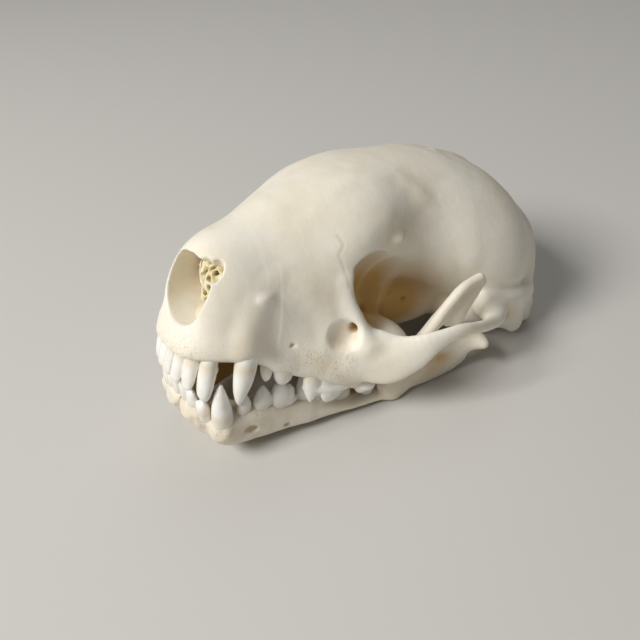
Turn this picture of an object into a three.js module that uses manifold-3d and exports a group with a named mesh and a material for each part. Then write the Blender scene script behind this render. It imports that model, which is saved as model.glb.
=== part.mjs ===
// A skunk skull with its lower jaw closed, at life size, in millimetres.
// The bones are drawn in the skull's own frame: x to the animal's left, y back from the front teeth and
// z up, with the hard palate near level. At the end the whole skull is tipped nose up until it rests on
// the lower border and the rear corners of the jaw, and it is moved so that the floor is z = 0.
import * as THREE from 'three';
import { mergeVertices } from 'three/addons/utils/BufferGeometryUtils.js';
import Module from 'manifold-3d';

const wasm = await Module();
wasm.setup();

// Driving sizes
const gap = 0.3;
const muzzleFront = 1.5;
const faceEnd = 29.2;
const skullBack = 55.4;
const archHalfWidth = 18.6;
const archSplit = 32.4;
const jawFront = 2;
const jawBack = 39.9;
const noseUp = THREE.MathUtils.degToRad(14.9);
const restDepth = 0.3;

// Dry, cleaned bone, and the lower jaw a little warmer
const boneMaterial = new THREE.MeshStandardMaterial({ color: 0xece6da, roughness: 0.55, metalness: 0 });
const jawMaterial = new THREE.MeshStandardMaterial({ color: 0xe9e2d4, roughness: 0.55, metalness: 0 });

// A smooth profile through a few stations, given as [place, value] pairs in order of place
function profile(...stations) {
  const slopes = stations.map((station, i) => {
    const before = stations[Math.max(i - 1, 0)];
    const after = stations[Math.min(i + 1, stations.length - 1)];
    return (after[1] - before[1]) / (after[0] - before[0]);
  });
  return (place) => {
    if (place <= stations[0][0]) return stations[0][1];
    const i = stations.findIndex((station) => station[0] > place) - 1;
    if (i < 0) return stations[stations.length - 1][1];
    const [y0, v0] = stations[i];
    const [y1, v1] = stations[i + 1];
    const h = y1 - y0;
    const t = (place - y0) / h;
    const rise = 3 * t * t - 2 * t * t * t;
    return v0 + (v1 - v0) * rise + h * (t * (1 - t) * (1 - t) * slopes[i] - t * t * (1 - t) * slopes[i + 1]);
  };
}

const level = (value) => () => value;

// A sphere with its poles along y, drawn out into a bone whose cross sections are superellipses.
// Each profile is a function of y; upper and lower are the powers of the section above and below middle.
function loft({ from, to, top, bottom, half, middle, centre = level(0), upper, lower, ends, rings, sides }) {
  const round = level(2.2);
  const shape = new THREE.SphereGeometry(1, sides, rings);
  const p = shape.attributes.position;
  for (let i = 0; i < p.count; i++) {
    const along = p.getY(i);
    const y = from + ((1 - along) / 2) * (to - from);
    const size = Math.abs(along) > 0.99999 ? 0 : (1 - Math.abs(along) ** ends) ** (1 / ends);
    const turn = Math.atan2(p.getZ(i), p.getX(i));
    const across = Math.cos(turn);
    const up = Math.sin(turn);
    const power = (up > 0 ? upper ?? round : lower ?? round)(y);
    const reach = size / (Math.abs(across) ** power + Math.abs(up) ** power) ** (1 / power);
    const rise = up > 0 ? top(y) - middle(y) : middle(y) - bottom(y);
    p.setXYZ(i, centre(y) + half(y) * reach * across, y, middle(y) + rise * reach * up);
  }
  return shape;
}

// An ellipsoid, turned about x, y and z by angles in degrees
function egg(centre, radii, turns = [0, 0, 0], sides = 12, rings = 8) {
  const shape = new THREE.SphereGeometry(1, sides, rings);
  shape.scale(...radii);
  shape.rotateX(THREE.MathUtils.degToRad(turns[0]));
  shape.rotateY(THREE.MathUtils.degToRad(turns[1]));
  shape.rotateZ(THREE.MathUtils.degToRad(turns[2]));
  return shape.translate(...centre);
}

// A bar of oval section along a curve; a station is [x, y, z, half thickness across, half height]
const upward = new THREE.Vector3(0, 0, 1);
function bar(stations, sides = 8, steps = 16, blunt = 8) {
  const points = stations.map((s) => new THREE.Vector3(s[0], s[1], s[2]));
  const path = new THREE.CatmullRomCurve3(points, false, 'centripetal');
  const across = profile(...stations.map((s, i) => [i / (stations.length - 1), s[3]]));
  const tall = profile(...stations.map((s, i) => [i / (stations.length - 1), s[4]]));
  const shape = new THREE.SphereGeometry(1, sides, steps);
  const p = shape.attributes.position;
  const side = new THREE.Vector3();
  const up = new THREE.Vector3();
  for (let i = 0; i < p.count; i++) {
    const along = THREE.MathUtils.clamp(-p.getY(i), -1, 1);
    const t = Math.acos(-along) / Math.PI;
    const size = Math.abs(along) > 0.99999 ? 0 : (1 - Math.abs(along) ** blunt) ** (1 / blunt);
    const turn = Math.atan2(p.getZ(i), p.getX(i));
    const forward = path.getTangent(t);
    side.crossVectors(forward, upward).normalize();
    up.crossVectors(side, forward);
    const at = path.getPoint(t);
    at.addScaledVector(side, -across(t) * size * Math.cos(turn));
    at.addScaledVector(up, tall(t) * size * Math.sin(turn));
    p.setXYZ(i, at.x, at.y, at.z);
  }
  return shape;
}

// One cusp: a lathed crown from its root to its tip, as wide and long as given, bowed towards the front
const crownOutline = [[0, 0], [0.8, 0], [1, 0.3], [0.9, 0.6], [0.6, 0.86], [0, 1]];
const bladeOutline = [[0, 0], [0.86, 0], [1, 0.35], [0.94, 0.75], [0.7, 0.94], [0, 1]];
function cusp({ root, tip, wide, long, bow = 0, sides = 7, outline = crownOutline }) {
  const crown = new THREE.LatheGeometry(outline.map(([r, t]) => new THREE.Vector2(r, t)), sides);
  const p = crown.attributes.position;
  for (let i = 0; i < p.count; i++) {
    const t = p.getY(i);
    const x = root[0] + (tip[0] - root[0]) * t + (p.getX(i) * wide) / 2;
    const y = root[1] + (tip[1] - root[1]) * t + (p.getZ(i) * long) / 2 - bow * Math.sin(Math.PI * t);
    p.setXYZ(i, x, y, root[2] + (tip[2] - root[2]) * t);
  }
  return crown;
}

// A block between two corners
function block(low, high) {
  const shape = new THREE.BoxGeometry(high[0] - low[0], high[1] - low[1], high[2] - low[2]);
  return shape.translate((low[0] + high[0]) / 2, (low[1] + high[1]) / 2, (low[2] + high[2]) / 2);
}

function flipFaces(shape) {
  const corners = shape.index.array;
  for (let i = 0; i < corners.length; i += 3) {
    [corners[i + 1], corners[i + 2]] = [corners[i + 2], corners[i + 1]];
  }
}

// A closed surface with shared points merged and its faces turned to point out
function outward(shape) {
  const plain = new THREE.BufferGeometry();
  plain.setAttribute('position', shape.attributes.position);
  plain.setIndex(shape.index);
  const closed = mergeVertices(plain, 1e-4);
  const corners = closed.index.array;
  const [a, b, c] = [new THREE.Vector3(), new THREE.Vector3(), new THREE.Vector3()];
  let volume = 0;
  for (let i = 0; i < corners.length; i += 3) {
    [a, b, c].forEach((v, k) => v.fromBufferAttribute(closed.attributes.position, corners[i + k]));
    volume += a.dot(b.cross(c));
  }
  if (volume < 0) flipFaces(closed);
  return closed;
}

function solid(geometry) {
  const closed = outward(geometry);
  const points = closed.attributes.position.array;
  const corners = new Uint32Array(closed.index.array);
  return new wasm.Manifold(new wasm.Mesh({ numProp: 3, vertProperties: points, triVerts: corners }));
}

function geometryOf(made) {
  const mesh = made.getMesh();
  const shape = new THREE.BufferGeometry();
  shape.setAttribute('position', new THREE.BufferAttribute(mesh.vertProperties, 3));
  shape.setIndex(new THREE.BufferAttribute(mesh.triVerts, 1));
  return shape;
}

const joined = (shapes) => shapes.map(solid).reduce((a, b) => a.add(b));
const cutBy = (body, shapes) => shapes.map(solid).reduce((a, b) => a.subtract(b), body);
const keptIn = (body, shape) => body.intersect(solid(shape));
const largest = (body) => body.decompose().reduce((a, b) => (a.volume() > b.volume() ? a : b));

// The same form on the animal's right
function mirrored(geometry) {
  const shape = geometry.clone().scale(-1, 1, 1);
  flipFaces(shape);
  return shape;
}
const bothSides = (shapes) => shapes.flatMap((shape) => [shape, mirrored(shape)]);

// Face and braincase

const vault = loft({
  from: 12.5, to: skullBack, rings: 24, sides: 28, ends: 7,
  top: profile(
    [12.5, 19.8], [17.5, 23.2], [22, 25], [28, 25.8], [34, 26], [40, 25.5], [48, 23.2], [skullBack, 17.4]
  ),
  bottom: profile([12.5, 9], [21, 8], [28.8, 7.2], [38.4, 5.5], [48, 4.2], [skullBack, 4.2]),
  half: profile(
    [12.5, 7.2], [18, 9.7], [23, 9.9], [28.8, 9.3], [32.6, 10], [38.4, 12.9], [46, 14.6], [skullBack, 12.2]
  ),
  middle: profile([12.5, 14], [21, 17.8], [28.8, 17], [38.4, 13.8], [48, 11.8], [skullBack, 10.6]),
  upper: profile([12.5, 2.2], [21, 2.1], [29, 2.05], [38.4, 2.1], [48, 2.2], [skullBack, 2.3]),
  lower: profile([12.5, 1.8], [28.8, 1.7], [38.4, 2.1], [skullBack, 2.6])
});

const muzzle = loft({
  from: muzzleFront, to: faceEnd + 1, rings: 18, sides: 24, ends: 8,
  top: profile(
    [muzzleFront, 15.8], [3.8, 17.4], [8.6, 19], [13, 21.4], [18, 23.4], [22, 24], [faceEnd, 23.8]
  ),
  bottom: profile([muzzleFront, 3.6], [7.7, 3], [13.4, 1.4], [19.2, 1.6], [faceEnd, 6.4]),
  half: profile(
    [muzzleFront, 5], [3.8, 6], [6.7, 7.2], [10.5, 7.8], [14.4, 9], [18.4, 10], [22, 9.8], [faceEnd, 6]
  ),
  middle: profile([muzzleFront, 8], [6.7, 7], [11.5, 7.6], [21, 11], [faceEnd, 14]),
  upper: level(2),
  lower: profile([muzzleFront, 2.6], [9, 5], [17, 5], [faceEnd, 2.4])
});

const premaxilla = loft({
  from: 0, to: 11.5, rings: 8, sides: 16, ends: 4,
  top: profile([0, 6.4], [4, 9], [11.5, 9]),
  bottom: profile([0, 3.6], [11.5, 3.2]),
  half: profile([0, 4.4], [3, 6.1], [6, 7.4], [8.6, 7.4], [11.5, 6.6]),
  middle: profile([0, 4.8], [11.5, 6])
});

const cheek = loft({
  from: 10.5, to: 27.8, rings: 12, sides: 20, ends: 4,
  top: profile([10.5, 7], [14.4, 10.8], [18.2, 12.8], [22, 10.2], [27.8, 7]),
  bottom: profile([10.5, 2.4], [14.4, 0.8], [18.2, -0.6], [23, -1.6], [27.8, 1]),
  half: profile([10.5, 7], [14.4, 9], [18.2, 11.4], [22, 12.6], [27.8, 9.6]),
  middle: profile([10.5, 4.6], [18.2, 3.4], [27.8, 4]),
  lower: level(4)
});

// The wall between the eye socket and the throat, below the braincase
const throatWall = loft({
  from: 18.5, to: 42, rings: 8, sides: 12, ends: 6,
  top: level(11),
  bottom: profile([18.5, 3], [25.4, 2.9], [29, 1.5], [36, 1.6], [42, 3.6]),
  half: profile([18.5, 8], [24, 6.8], [30, 6.4], [36, 7.4], [42, 8]),
  middle: level(7), lower: level(3.5)
});

// The edge of the upper jaw that carries the cheek teeth
const toothRidge = bar([
  [6.9, 9, 4.4, 0.8, 0.9], [7.5, 10.7, 3.1, 0.95, 1.05], [8, 13.1, 2.3, 1.05, 1.1], [8.9, 15.6, 1.7, 1.1, 1.2],
  [9.9, 18.4, 0.8, 1.2, 1.3], [10.3, 21.4, -0.1, 1.3, 1.3], [10.1, 24.4, -0.4, 1.3, 1.2], [9.2, 26.4, 1, 1.2, 1.2]
], 6, 12, 4);

const bulla = egg([8.2, 43.6, 4.8], [4.2, 5.6, 3.3], [0, 0, 14]);
const mastoid = egg([13.2, 48.2, 4.8], [2.2, 3.2, 3.2], [8, 12, 0]);
const mastoidTip = egg([14, 49.4, 3.2], [1.3, 1.8, 1.8], [0, 0, 0], 8, 6);
const earRidge = bar([
  [13.2, 41.6, 7.8, 1.6, 1.4], [14.2, 44.6, 8, 1.1, 1.1], [14, 48, 7.8, 1, 1], [13, 51.4, 7.4, 1, 1.1]
], 6, 8, 4);
const rearCorner = egg([12.1, 52, 4.6], [2.2, 3, 2.8], [-8, 0, 0]);
const neckBoss = egg([5, 54, 6.8], [2.4, 2.7, 3.2], [0, 20, 0]);
const brow = egg([8.7, 25.9, 18], [1.4, 2.2, 1]);
const wing = bar([
  [3.4, 25, 6, 0.6, 1.2], [3.6, 28.8, 4.2, 0.5, 1.8], [3.9, 33.6, 3.6, 0.5, 1.6], [4.4, 38.4, 5, 0.6, 1.2]
], 6, 8);
const neckCrest = bar([
  [12.9, 50.4, 6.8, 0.9, 1.2], [12, 52.2, 10.4, 0.9, 1.1], [8.2, 52.8, 16, 0.9, 1], [0, 53, 18.8, 0.9, 0.9]
], 6, 10);

// Hollows: the eye socket that runs on into the temple, the nose, the canal below the eye, the palate
// between the cheek teeth, the ear and the opening for the spine
const socket = loft({
  from: 17.9, to: 42.2, rings: 14, sides: 16, ends: 3.5, centre: level(21),
  top: profile([17.9, 16.8], [22, 18.5], [26.8, 18.6], [31.7, 16.4], [36.5, 13], [42.2, 10.4]),
  bottom: profile([17.9, 7.4], [22, 6.6], [26, 5], [30, 3.4], [34.6, 2], [42.2, 5.4]),
  half: profile([17.9, 11], [22, 14.4], [26.8, 15], [31.7, 13], [36.5, 9.2], [42.2, 6]),
  middle: profile([17.9, 11.4], [26, 9.5], [42.2, 8.6])
});
const socketFront = egg([10.2, 22, 12.6], [4, 3.9, 4.6], [0, 0, 0], 16, 12);
const noseHollow = loft({
  from: -3, to: 10.5, rings: 10, sides: 16, ends: 3,
  top: profile([-3, 16], [2, 16.6], [10.5, 15.4]),
  bottom: profile([-3, 7], [3.6, 7], [10.5, 8]),
  half: profile([-3, 3.2], [4.4, 4.2], [10.5, 3.9]),
  middle: level(11.8)
});
const canal = bar([[12.6, 15, 7.6, 1.5, 1.6], [11.2, 17.8, 7.6, 1.4, 1.6], [10.4, 22.4, 9, 1.4, 1.5]], 8, 6);
const palateHollow = loft({
  from: 3, to: 32, rings: 10, sides: 12, ends: 6,
  top: profile([3, 4], [10, 3.8], [19, 3.2], [32, 4]),
  bottom: level(-4),
  half: profile([3, 4], [8, 5.4], [13.4, 6.6], [19.2, 7.9], [26, 8], [32, 3]),
  middle: level(0), upper: level(5), lower: level(5)
});
const ear = egg([15.6, 45, 4.9], [2.6, 1.5, 1.5]);
const spineHole = egg([0, 55.2, 9], [4.3, 5.4, 3.6]);

// The thin scrolls that show in the nose, and the wall between its two sides
const scrolls = [-1.7, 1.7].flatMap((x) => [9.8, 11.8, 13.8].map((z) => (
  egg([x, 8.3, z], [1.5, 4.2, 0.45], [0, Math.sign(x) * 24, 0], 8, 6)
)));
const noseWall = egg([0, 9, 11.8], [0.4, 4.6, 4.4], [0, 0, 0], 8, 6);

// Upper teeth on the left, from the front back: root in the bone, tip, width across, length along the row
const upperTeeth = [
  { root: [1, 1.9, 4.4], tip: [0.95, 0.9, -0.3], wide: 1.8, long: 1.5, outline: bladeOutline },
  { root: [2.85, 2.3, 4.4], tip: [2.85, 1.4, -0.5], wide: 1.9, long: 1.7, outline: bladeOutline },
  { root: [4.65, 3.1, 5], tip: [4.85, 2.4, -1.2], wide: 2, long: 2, outline: bladeOutline },
  { root: [6.7, 7.1, 5.2], tip: [7, 6.3, -1.8], wide: 2.6, long: 2.9, bow: 0.2, sides: 9 },
  { root: [7.1, 9.5, 4], tip: [7.45, 9.65, 0.9], wide: 1.3, long: 1.7 },
  { root: [7.7, 12, 3.4], tip: [7.9, 11.9, 0.1], wide: 1.9, long: 2.9, outline: bladeOutline },
  { root: [8.9, 15.6, 2.2], tip: [9.4, 15.5, -3], wide: 2.2, long: 3.2 },
  { root: [10.1, 19, 1], tip: [10.7, 19.6, -2.5], wide: 1.9, long: 4.6, outline: bladeOutline },
  { root: [10, 23.4, 0.4], tip: [10.3, 23.4, -2.9], wide: 4.2, long: 3.6, sides: 9, outline: bladeOutline }
].map(cusp);

// The cheekbone: from the upper jaw above the last teeth, out and back to the joint of the jaw
const arch = bar([
  [10.6, 20.2, 3.8, 1.8, 3.2], [13.4, 22.8, 4, 1.4, 4], [15.8, 24.8, 5.2, 1.1, 2.9], [17.6, 27.2, 7.4, 0.9, 1.55],
  [archHalfWidth, 30.6, 8.7, 0.8, 0.95], [archHalfWidth, 34, 8.25, 0.8, 0.9],
  [archHalfWidth - 0.9, 37.4, 7.5, 1, 0.95], [16.3, 40.3, 7, 1.6, 1.15], [12.8, 42.2, 7.2, 2.4, 1.8]
], 8, 22);

// The space on one side of an upright plane that stands across the cheekbone, half a gap away from it
const beyondSkull = 80;
function beyond(place, turn, side) {
  const low = side > 0 ? gap / 2 : -beyondSkull;
  const high = side > 0 ? beyondSkull : -gap / 2;
  return block([-beyondSkull, low, -beyondSkull], [beyondSkull, high, beyondSkull])
    .rotateZ(THREE.MathUtils.degToRad(turn)).translate(...place);
}
const faceJoint = [[14.2, 23.2, 4.6], -50];
const skullJoint = [[15.2, 41, 7.2], 67];
const middleJoint = [[archHalfWidth, archSplit, 8], 0];
const archSolid = solid(arch);
const faceRoot = keptIn(archSolid, beyond(...faceJoint, -1));
const cheekbone = keptIn(keptIn(archSolid, beyond(...faceJoint, 1)), beyond(...middleJoint, -1));
const templeArm = keptIn(keptIn(archSolid, beyond(...middleJoint, 1)), beyond(...skullJoint, -1));
const skullRoot = keptIn(archSolid, beyond(...skullJoint, 1));

const overX = (made) => made.mirror([1, 0, 0]);
const sideForms = bothSides([
  toothRidge, bulla, mastoid, mastoidTip, earRidge, rearCorner, neckBoss, brow, neckCrest
]);
const cranium = cutBy(
  joined([vault, muzzle, premaxilla, cheek, ...sideForms]),
  [...bothSides([socket, socketFront, canal, ear]), noseHollow, palateHollow, spineHole]
).add(joined([throatWall, noseWall, ...scrolls, ...bothSides([wing, ...upperTeeth])]))
  .add(faceRoot).add(overX(faceRoot)).add(skullRoot).add(overX(skullRoot));
const neckPlane = [[0, faceEnd, 0], 0];
const face = largest(keptIn(cranium, beyond(...neckPlane, -1)));
const braincase = largest(keptIn(cranium, beyond(...neckPlane, 1)));

// Lower jaw

const jawBody = loft({
  from: jawFront, to: jawBack, rings: 22, sides: 12, ends: 8,
  centre: profile(
    [jawFront, 1.8], [4.2, 3.1], [8.6, 5.4], [14.4, 7], [21, 8.6], [28.8, 11], [34.6, 12.6], [jawBack, 13.6]
  ),
  top: profile(
    [jawFront, -3.7], [6, -3.3], [9.6, -3.1], [15, -4], [23, -4.6], [27, -3.6], [30.6, 0], [34.6, 2.2],
    [jawBack, 1.4]
  ),
  bottom: profile(
    [jawFront, -6], [4.8, -8.6], [8, -8.6], [13, -7.8], [18, -6.8], [23, -5.5], [37.5, -2.7], [jawBack, -1.4]
  ),
  half: profile([jawFront, 1.6], [6, 2.3], [13.4, 2], [23, 1.9], [30.6, 1.4], [jawBack, 0.9]),
  middle: profile([jawFront, -4.7], [8, -6], [19, -5.6], [27, -4.6], [34.6, -1], [jawBack, 0])
});
const chin = egg([1.7, 5.8, -6.6], [2.5, 3.7, 2.1], [-25, 0, 0]);
const canineSwell = egg([5.8, 5.8, -6.3], [1.6, 2.4, 1.8], [-20, 0, 0], 10, 8);
const coronoid = bar([
  [11.8, 27.6, -3.6, 1, 2.3], [12.7, 30.7, 0.8, 0.85, 3.1], [13.5, 33.1, 5, 0.75, 2.9],
  [14, 34.4, 8.2, 0.7, 2.3], [14.4, 36, 11, 0.65, 1.8], [14.7, 37.6, 12.6, 0.55, 0.9]
], 8, 14);
const jawNeck = bar([
  [12.6, 32, 0, 0.8, 2.2], [13.6, 36.6, 1.4, 0.8, 1.9], [14.6, 39.6, 2.8, 1.2, 1.3]
], 8, 8);
const jawJoint = egg([14.3, 40, 2.9], [2.6, 1.2, 1.2]);

// Lower teeth on the left
const lowerTeeth = [
  { root: [1, 3.6, -4.4], tip: [0.95, 2.8, -1.1], wide: 1.45, long: 1.3, outline: bladeOutline },
  { root: [2.45, 3.8, -4.4], tip: [2.45, 3, -1.3], wide: 1.5, long: 1.4, outline: bladeOutline },
  { root: [4, 4.1, -5], tip: [4.15, 3.4, -2], wide: 1.8, long: 1.6, outline: bladeOutline },
  { root: [6, 5.1, -5.4], tip: [6.15, 4.2, 1.1], wide: 2.4, long: 2.6, bow: 0.2, sides: 9 },
  { root: [6.5, 7.5, -4.4], tip: [6.5, 7.4, -1.3], wide: 1.5, long: 2 },
  { root: [6.85, 10.1, -4.6], tip: [6.85, 9.8, -0.8], wide: 1.8, long: 2.7 },
  { root: [7.3, 12.8, -4.8], tip: [7.2, 12.2, -0.4], wide: 1.9, long: 2.9 },
  { root: [7.4, 16.4, -5.2], tip: [6.9, 16.2, 0], wide: 1.8, long: 3.2 },
  { root: [7.6, 19.4, -5.4], tip: [6.8, 19.4, 0.4], wide: 1.8, long: 3.2 },
  { root: [8.8, 22.8, -6], tip: [8.8, 22.8, -3.6], wide: 2.4, long: 4, outline: bladeOutline },
  { root: [9.8, 26.2, -5.6], tip: [9.8, 26.2, -3.2], wide: 2, long: 2.4, outline: bladeOutline }
].map(cusp);

// The two halves of the jaw meet at the middle, half a gap from it on each side
const otherHalf = block([-beyondSkull, -beyondSkull, -beyondSkull], [gap / 2, beyondSkull, beyondSkull]);
const jawSolid = largest(cutBy(
  joined([jawBody, chin, canineSwell, coronoid, jawNeck, jawJoint, ...lowerTeeth]),
  [otherHalf]
));

// The jaw stands on small flats: everything below the floor is cut off, in the tipped position
const jawLowest = geometryOf(jawSolid).rotateX(-noseUp);
jawLowest.computeBoundingBox();
const floorLevel = jawLowest.boundingBox.min.z + restDepth;
const underFloor = block(
  [-beyondSkull, -beyondSkull, floorLevel - beyondSkull], [beyondSkull, beyondSkull, floorLevel]
).rotateX(noseUp);
const mandible = cutBy(jawSolid, [underFloor]);

// The whole skull, tipped nose up, with its origin on the floor under the middle of its box
const skull = new THREE.Group();
skull.name = 'skunk_skull';
skull.rotation.x = -noseUp;
function addNode(name, made, material) {
  const mesh = new THREE.Mesh(geometryOf(made), material);
  mesh.name = name;
  skull.add(mesh);
}
addNode('face', face, boneMaterial);
addNode('braincase', braincase, boneMaterial);
addNode('cheekbone_left', cheekbone, boneMaterial);
addNode('cheekbone_right', overX(cheekbone), boneMaterial);
addNode('temple_arm_left', templeArm, boneMaterial);
addNode('temple_arm_right', overX(templeArm), boneMaterial);
addNode('mandible_left', mandible, jawMaterial);
addNode('mandible_right', overX(mandible), jawMaterial);

const extent = new THREE.Box3().setFromObject(skull, true);
const middle = extent.getCenter(new THREE.Vector3());
skull.position.set(-middle.x, -middle.y, -extent.min.z);

export default skull;
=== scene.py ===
import math

import bpy
import numpy as np
import openvdb
from mathutils import Matrix, Vector


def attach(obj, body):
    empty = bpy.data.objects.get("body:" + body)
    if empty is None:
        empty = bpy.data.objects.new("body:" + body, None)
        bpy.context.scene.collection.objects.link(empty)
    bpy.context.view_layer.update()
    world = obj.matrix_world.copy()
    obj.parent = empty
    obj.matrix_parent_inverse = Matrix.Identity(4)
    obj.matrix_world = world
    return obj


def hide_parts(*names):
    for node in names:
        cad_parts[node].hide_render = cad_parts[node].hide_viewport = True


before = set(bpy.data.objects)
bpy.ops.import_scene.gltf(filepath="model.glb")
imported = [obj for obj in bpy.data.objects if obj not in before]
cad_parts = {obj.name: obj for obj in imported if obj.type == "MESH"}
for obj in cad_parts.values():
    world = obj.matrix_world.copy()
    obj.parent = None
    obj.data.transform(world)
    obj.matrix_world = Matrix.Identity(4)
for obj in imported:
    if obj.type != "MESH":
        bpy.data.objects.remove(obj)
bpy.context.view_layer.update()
print("frame loaded:", sorted(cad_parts))

# The skull is drawn in millimetres in its own frame: x to the animal's left, y back from the front teeth,
# z up. This is how it lies on the floor: nose up, on its lower jaw.
restPose = {"noseUpDegrees": 14.9, "moveMm": (0.0, -28.872, 12.114)}
toFrame = (Matrix.Scale(0.001, 4) @ Matrix.Translation(Vector(restPose["moveMm"]))
           @ Matrix.Rotation(-math.radians(restPose["noseUpDegrees"]), 4, "X"))

detail = {"boneVoxelMm": 0.2, "jawVoxelMm": 0.16, "toothVoxelMm": 0.09}


# every form is a distance in millimetres on a grid; they are joined softly and then meshed. The first five
# limits keep the distances sound, the last three say how far from a surface they are worked out.
limits = {"thinnestMm": 0.05, "flattestSlope": 0.04, "farthestRatio": 6, "smallestLength": 1e-3,
          "smallestSquare": 1e-6, "outsideMm": 9, "marginMm": 0.8, "bandVoxels": 3}


def curveThrough(stations):
    at = np.array([s[0] for s in stations], float)
    value = np.array([s[1] for s in stations], float)
    last = len(at) - 1
    before = np.maximum(np.arange(last + 1) - 1, 0)
    after = np.minimum(np.arange(last + 1) + 1, last)
    slope = (value[after] - value[before]) / (at[after] - at[before])

    def evaluate(y):
        y = np.clip(y, at[0], at[-1])
        i = np.clip(np.searchsorted(at, y, side="right") - 1, 0, last - 1)
        h = at[i + 1] - at[i]
        t = (y - at[i]) / h
        rise = 3 * t**2 - 2 * t**3
        return (value[i] + (value[i + 1] - value[i]) * rise
                + h * (t * (1 - t)**2 * slope[i] - t**2 * (1 - t) * slope[i + 1]))
    return evaluate


def asCurve(given):
    if isinstance(given, (list, tuple)):
        return curveThrough(given)
    return lambda y: np.full_like(y, given, float)


def loft(form):
    # cross sections are rounded boxes whose half width, top and bottom follow curves along y; "upper" and
    # "lower" are their powers: 2 is an oval, more is squarer
    start, end, blunt = form["span"][0], form["span"][1], form.get("ends", 6)
    curves = {key: asCurve(form.get(key, fallback)) for key, fallback in
              (("top", 0), ("bottom", 0), ("half", 0), ("middle", 0), ("centre", 0), ("upper", 2.2),
               ("lower", 2.2))}

    def distance(gx, gy, gz, voxel):
        y = gy.ravel().astype(float)
        c = {key: curve(y).astype(np.float32)[None, :, None] for key, curve in curves.items()}
        above = gz > c["middle"]
        across = np.abs(gx - c["centre"]) / c["half"]
        reach = np.where(above, c["top"] - c["middle"], c["middle"] - c["bottom"])
        tall = np.abs(gz - c["middle"]) / np.maximum(reach, limits["thinnestMm"])
        power = np.where(above, c["upper"], c["lower"])
        farthest = limits["farthestRatio"]
        section = (np.minimum(across, farthest)**power + np.minimum(tall, farthest)**power)**(1 / power)
        along = np.abs((2 * gy - start - end) / (end - start))
        ratio = (section**blunt + np.minimum(along, farthest)**blunt)**(1 / blunt) - 1
        slopes = np.gradient(ratio, voxel)
        steep = np.sqrt(sum(s**2 for s in slopes))
        return ratio / np.maximum(steep, limits["flattestSlope"])
    ys = np.linspace(start, end, 40)
    wide = curves["half"](ys).max()
    centres = curves["centre"](ys)
    return {"distance": distance,
            "low": (centres.min() - wide, start, curves["bottom"](ys).min()),
            "high": (centres.max() + wide, end, curves["top"](ys).max())}


def bar(stations, reference=(0, 0, 1), steps=5):
    # a rod of oval section along a smooth curve; a station is x, y, z, half thickness, half height
    s = np.array(stations, float)
    way = np.concatenate([[0], np.cumsum(np.linalg.norm(np.diff(s[:, :3], axis=0), axis=1))])
    t = np.unique(np.concatenate([np.linspace(way[i], way[i + 1], steps + 1) for i in range(len(s) - 1)]))
    path = np.stack([curveThrough(list(zip(way, s[:, k])))(t) for k in range(5)], axis=1)

    def distance(gx, gy, gz, voxel):
        best = None
        for a, b in zip(path[:-1], path[1:]):
            run = b[:3] - a[:3]
            length = np.linalg.norm(run)
            ahead = run / length
            side = np.cross(ahead, reference)
            side /= np.linalg.norm(side)
            up = np.cross(side, ahead)
            dx, dy, dz = gx - a[0], gy - a[1], gz - a[2]
            u = np.clip((dx * ahead[0] + dy * ahead[1] + dz * ahead[2]) / length, 0, 1)
            vx, vy, vz = dx - u * run[0], dy - u * run[1], dz - u * run[2]
            wide = a[3] + (b[3] - a[3]) * u
            high = a[4] + (b[4] - a[4]) * u
            q = np.sqrt(((vx * side[0] + vy * side[1] + vz * side[2]) / wide)**2
                        + ((vx * up[0] + vy * up[1] + vz * up[2]) / high)**2
                        + ((vx * ahead[0] + vy * ahead[1] + vz * ahead[2]) / np.minimum(wide, high))**2)
            away = np.sqrt(vx**2 + vy**2 + vz**2)
            core = limits["thinnestMm"]
            d = np.where(q > core, away * (1 - 1 / np.maximum(q, core)), -np.minimum(wide, high))
            best = d if best is None else np.minimum(best, d)
        return best
    thick = path[:, 3:].max(axis=1)[:, None]
    return {"distance": distance, "low": (path[:, :3] - thick).min(0), "high": (path[:, :3] + thick).max(0)}


def egg(centre, radii, turns=(0, 0, 0)):
    turn = (Matrix.Rotation(math.radians(turns[2]), 3, "Z") @ Matrix.Rotation(math.radians(turns[1]), 3, "Y")
            @ Matrix.Rotation(math.radians(turns[0]), 3, "X"))
    axes = [np.array(turn.col[k]) for k in range(3)]

    def distance(gx, gy, gz, voxel):
        dx, dy, dz = gx - centre[0], gy - centre[1], gz - centre[2]
        local = [dx * a[0] + dy * a[1] + dz * a[2] for a in axes]
        k0 = np.sqrt(sum((p / r)**2 for p, r in zip(local, radii)))
        k1 = np.sqrt(sum((p / r**2)**2 for p, r in zip(local, radii)))
        return k0 * (k0 - 1) / np.maximum(k1, limits["smallestLength"])
    reach = max(radii)
    return {"distance": distance, "low": np.array(centre) - reach, "high": np.array(centre) + reach}


def newField(low, high, voxel):
    axes = [np.arange(a, b, voxel, dtype=np.float32) for a, b in zip(low, high)]
    value = np.full([len(a) for a in axes], limits["outsideMm"], np.float32)
    return {"axes": axes, "low": np.array(low, float), "voxel": voxel, "value": value}


def acrossGrid(axes):
    # the three axes, shaped so that they combine into a value for each place on the grid
    along, back, up = axes
    return along[:, None, None], back[None, :, None], up[None, None, :]


def windowOf(field, form, margin):
    # the part of the grid near a form, and its coordinates
    cut = []
    for axis, low, high in zip(field["axes"], form["low"], form["high"]):
        cut.append(slice(int(np.searchsorted(axis, low - margin)),
                         int(np.searchsorted(axis, high + margin))))
    return tuple(cut), *acrossGrid([axis[c] for axis, c in zip(field["axes"], cut)])


def softMin(a, b, blend):
    h = np.clip(0.5 + 0.5 * (b - a) / blend, 0, 1)
    return b * (1 - h) + a * h - blend * h * (1 - h)


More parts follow.
